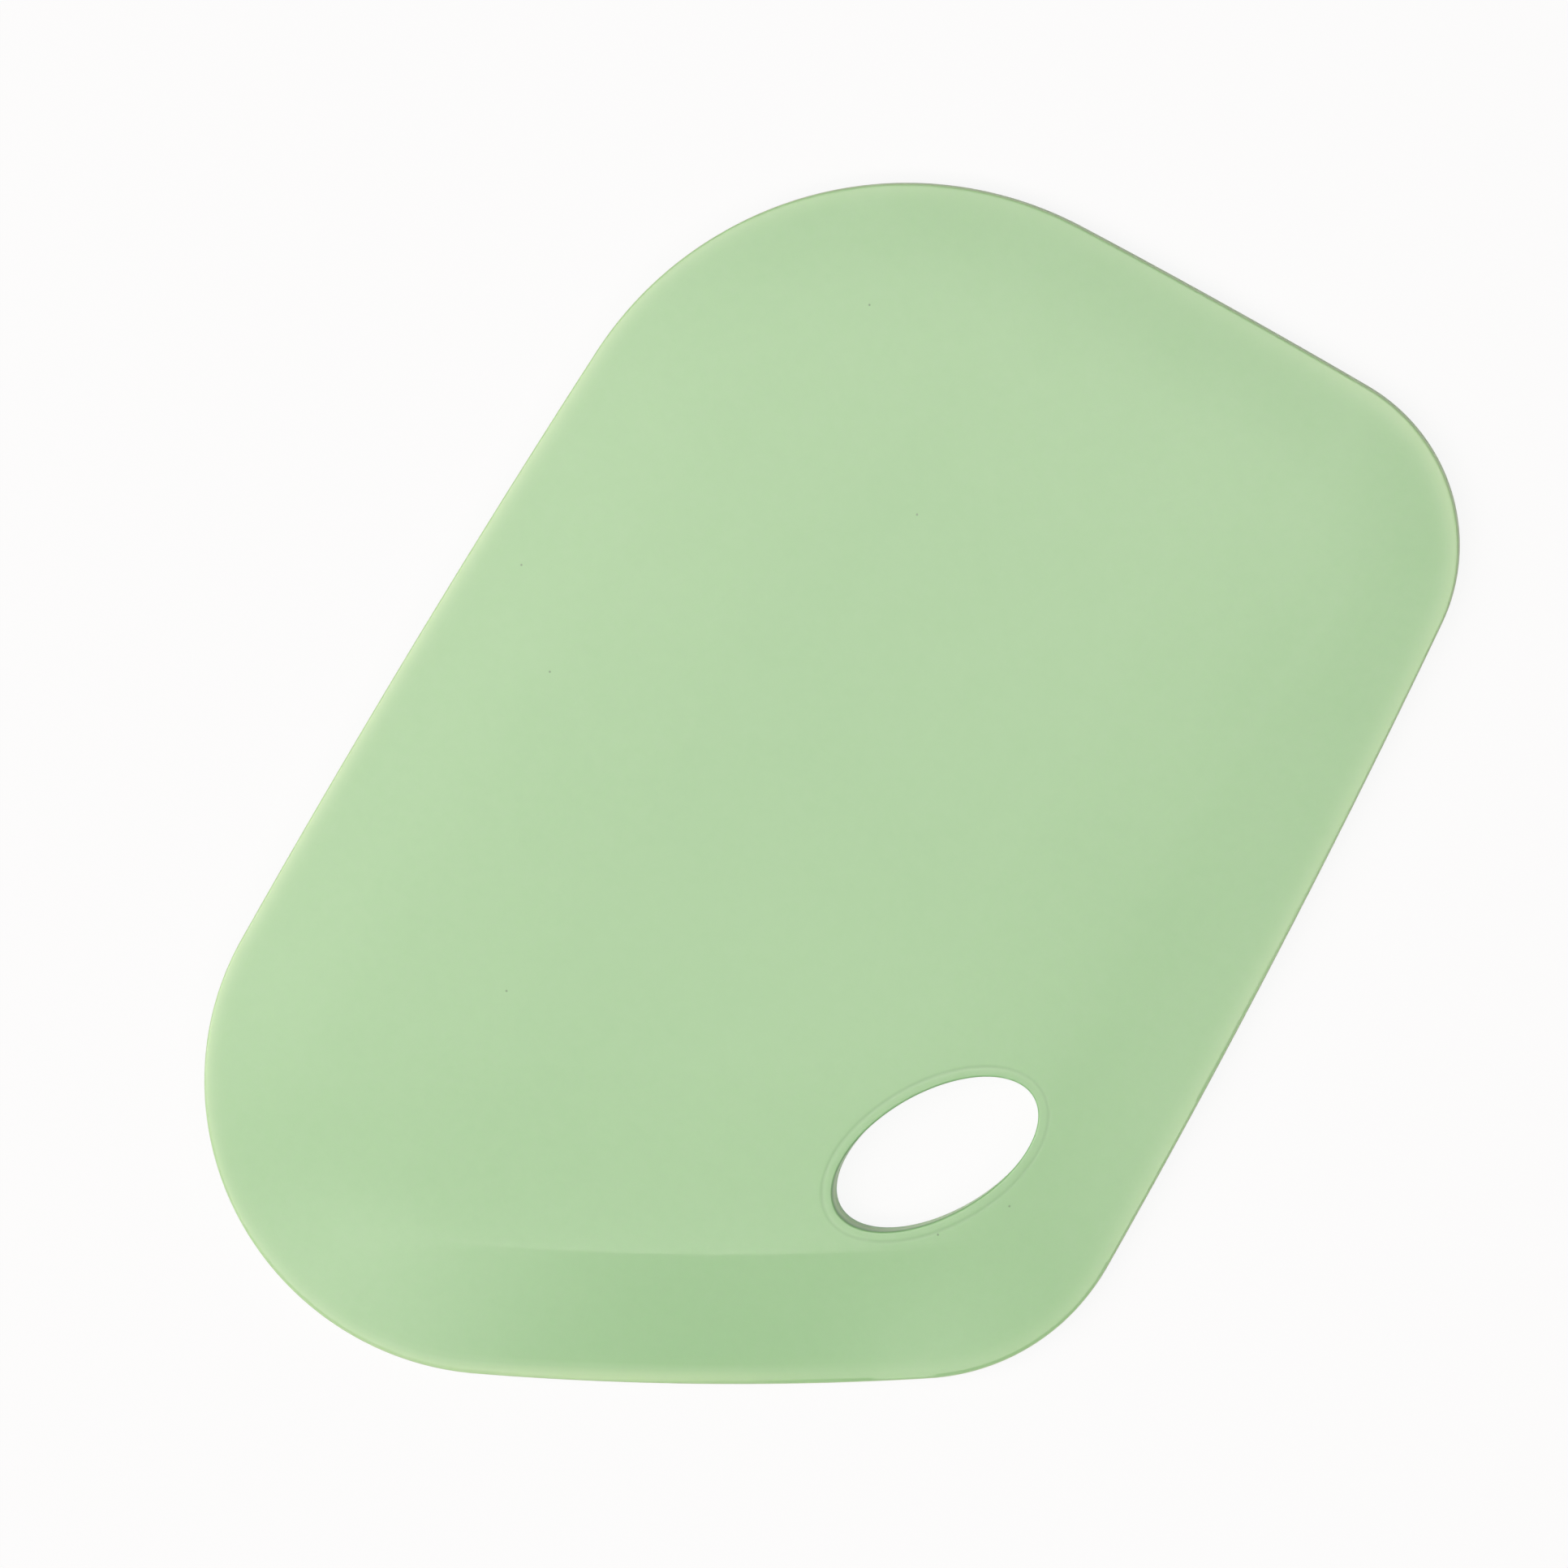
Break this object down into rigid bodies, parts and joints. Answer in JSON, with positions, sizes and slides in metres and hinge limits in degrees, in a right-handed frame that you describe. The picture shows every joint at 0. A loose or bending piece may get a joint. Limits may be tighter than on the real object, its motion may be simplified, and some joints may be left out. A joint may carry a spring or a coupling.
{
  "type": "bowl scraper",
  "caption": "Flat flexible silicone bowl scraper with a stiff core, a thin tapered lip all round, a square end, an oblique scraping end and an oval finger hole near a corner.",
  "frame": {"origin": "under the middle of the plan's bounding box, on the surface that the back face rests on", "axes": "+Z out of the front face, +Y towards the square end, +X along the square end towards the smaller rounded corner; the finger hole is in the corner at +X, -Y"},
  "size_m": [0.1038, 0.1503, 0.005],
  "materials": {
    "silicone": "matt pale green silicone",
    "core_nylon": "natural moulded nylon, covered by the silicone"
  },
  "bodies": {
    "root": {"front_skin": "silicone", "back_skin": "silicone", "stiffening_core": "core_nylon"}
  },
  "joints": []
}
